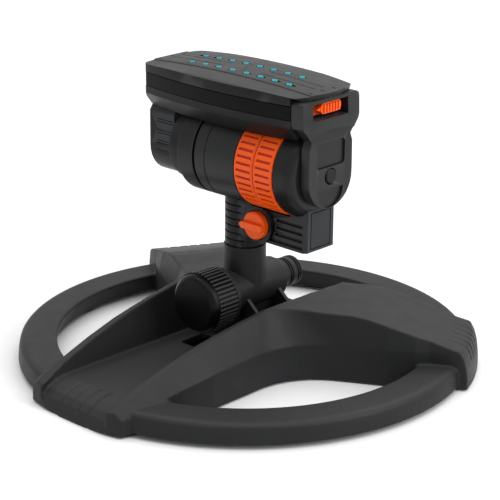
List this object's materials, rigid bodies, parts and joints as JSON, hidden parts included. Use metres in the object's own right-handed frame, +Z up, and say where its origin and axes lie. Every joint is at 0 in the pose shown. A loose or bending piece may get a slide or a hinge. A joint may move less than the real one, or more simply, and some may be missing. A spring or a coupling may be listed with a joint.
{
  "type": "oscillating lawn sprinkler",
  "caption": "Compact oscillating lawn sprinkler: a swinging spray bar on a turbine drum, carried by a swivel neck on a round sled base with a hose nipple.",
  "frame": {"origin": "on the floor, under the axis of the swivel column", "axes": "+Z up, +X along the spray bar towards the end with the width slider, +Y along the hose nipple, away from the capped outlet"},
  "size_m": [0.24, 0.2431, 0.1559],
  "materials": {
    "base_plastic": "fine matt grain, dark grey",
    "tee_plastic": "satin, dark grey",
    "head_plastic": "satin, near black",
    "cap_plastic": "satin, black",
    "gloss_band": "polished, black",
    "orange_plastic": "satin, orange",
    "nozzle_rubber": "soft, turquoise",
    "inner_plastic": "natural white",
    "rubber": "matt black",
    "steel": "plain"
  },
  "bodies": {
    "base": {"base_frame": "base_plastic", "tee_body": "tee_plastic", "nipple_oring_1": "rubber", "nipple_oring_2": "rubber", "base_screw_1": "steel", "base_screw_2": "steel"},
    "cap_carrier": {"cap_gasket": "rubber"},
    "cap": {"end_cap": "cap_plastic"},
    "head": {"neck_housing": "head_plastic", "swivel_oring": "rubber", "filter_screen_mesh": "steel", "drum_body": "head_plastic", "drum_cover": "head_plastic", "inlet_shell": "head_plastic", "gearbox_plate": "inner_plastic", "stator_disc": "inner_plastic", "layshaft": "steel", "shaft_seal": "rubber"},
    "knob": {"flow_knob": "orange_plastic", "valve_plug": "inner_plastic"},
    "left_limit": {"range_ring_left": "orange_plastic"},
    "right_limit": {"range_ring_right": "orange_plastic"},
    "bar": {"upper_cover": "head_plastic", "side_band_front": "gloss_band", "side_band_back": "gloss_band", "nozzle_panel_left": "head_plastic", "nozzle_panel_right": "head_plastic", "lower_shell": "head_plastic", "manifold": "inner_plastic", "left_arm": "head_plastic", "arm_collar": "head_plastic", "outlet_shaft": "inner_plastic", "output_gear": "inner_plastic", "right_end_plate": "head_plastic", "pivot_pin": "head_plastic"},
    "slider": {"width_slider": "orange_plastic"},
    "comb_front": {"nozzle_comb_front": "nozzle_rubber"},
    "comb_back": {"nozzle_comb_back": "nozzle_rubber"},
    "compound": {"compound_gear": "inner_plastic"},
    "turbine": {"turbine_wheel": "inner_plastic"}
  },
  "joints": [
    {"name": "cap_lift", "type": "slide", "parent": "base", "child": "cap_carrier", "axis": [0, -1, 0], "range_m": [0, 0.014]},
    {"name": "cap_turn", "type": "hinge", "parent": "cap_carrier", "child": "cap", "pos_m": [0, -0.03, 0.0379], "axis": [0, -1, 0], "range_deg": [0, 2700]},
    {"name": "head_swivel", "type": "hinge", "parent": "base", "child": "head", "pos_m": [0, 0, 0.0631], "axis": [0, 0, 1], "range_deg": [-180, 180]},
    {"name": "flow_turn", "type": "hinge", "parent": "head", "child": "knob", "pos_m": [0.0195, -0.01, 0.0795], "axis": [0, -1, 0], "range_deg": [0, 90]},
    {"name": "left_limit_turn", "type": "hinge", "parent": "head", "child": "left_limit", "pos_m": [0.0204, 0, 0.1109], "axis": [1, 0, 0], "range_deg": [-45, 45]},
    {"name": "right_limit_turn", "type": "hinge", "parent": "head", "child": "right_limit", "pos_m": [0.0333, 0, 0.1109], "axis": [1, 0, 0], "range_deg": [-45, 45]},
    {"name": "spray_swing", "type": "hinge", "parent": "head", "child": "bar", "pos_m": [0, 0, 0.1109], "axis": [1, 0, 0], "range_deg": [-50, 50]},
    {"name": "compound_spin", "type": "hinge", "parent": "head", "child": "compound", "pos_m": [-0.0045, 0, 0.0989], "axis": [1, 0, 0], "range_deg": [-150, 150]},
    {"name": "turbine_spin", "type": "hinge", "parent": "head", "child": "turbine", "pos_m": [0.024, 0, 0.1109], "axis": [1, 0, 0], "range_deg": [-450, 450]},
    {"name": "width_slide", "type": "slide", "parent": "bar", "child": "slider", "axis": [0, 1, 0], "range_m": [-0.0045, 0.003]},
    {"name": "comb_front_shift", "type": "slide", "parent": "bar", "child": "comb_front", "axis": [1, 0, 0], "range_m": [-0.0007, 0.00045]},
    {"name": "comb_back_shift", "type": "slide", "parent": "bar", "child": "comb_back", "axis": [1, 0, 0], "range_m": [-0.00045, 0.0007]}
  ],
  "couplings": [
    {"joint": "cap_lift", "follows": "cap_turn", "m_per_rad": 0.00029709},
    {"joint": "compound_spin", "follows": "spray_swing", "ratio": -3},
    {"joint": "turbine_spin", "follows": "spray_swing", "ratio": 9},
    {"joint": "comb_front_shift", "follows": "width_slide", "ratio": 0.15},
    {"joint": "comb_back_shift", "follows": "width_slide", "ratio": -0.15}
  ]
}
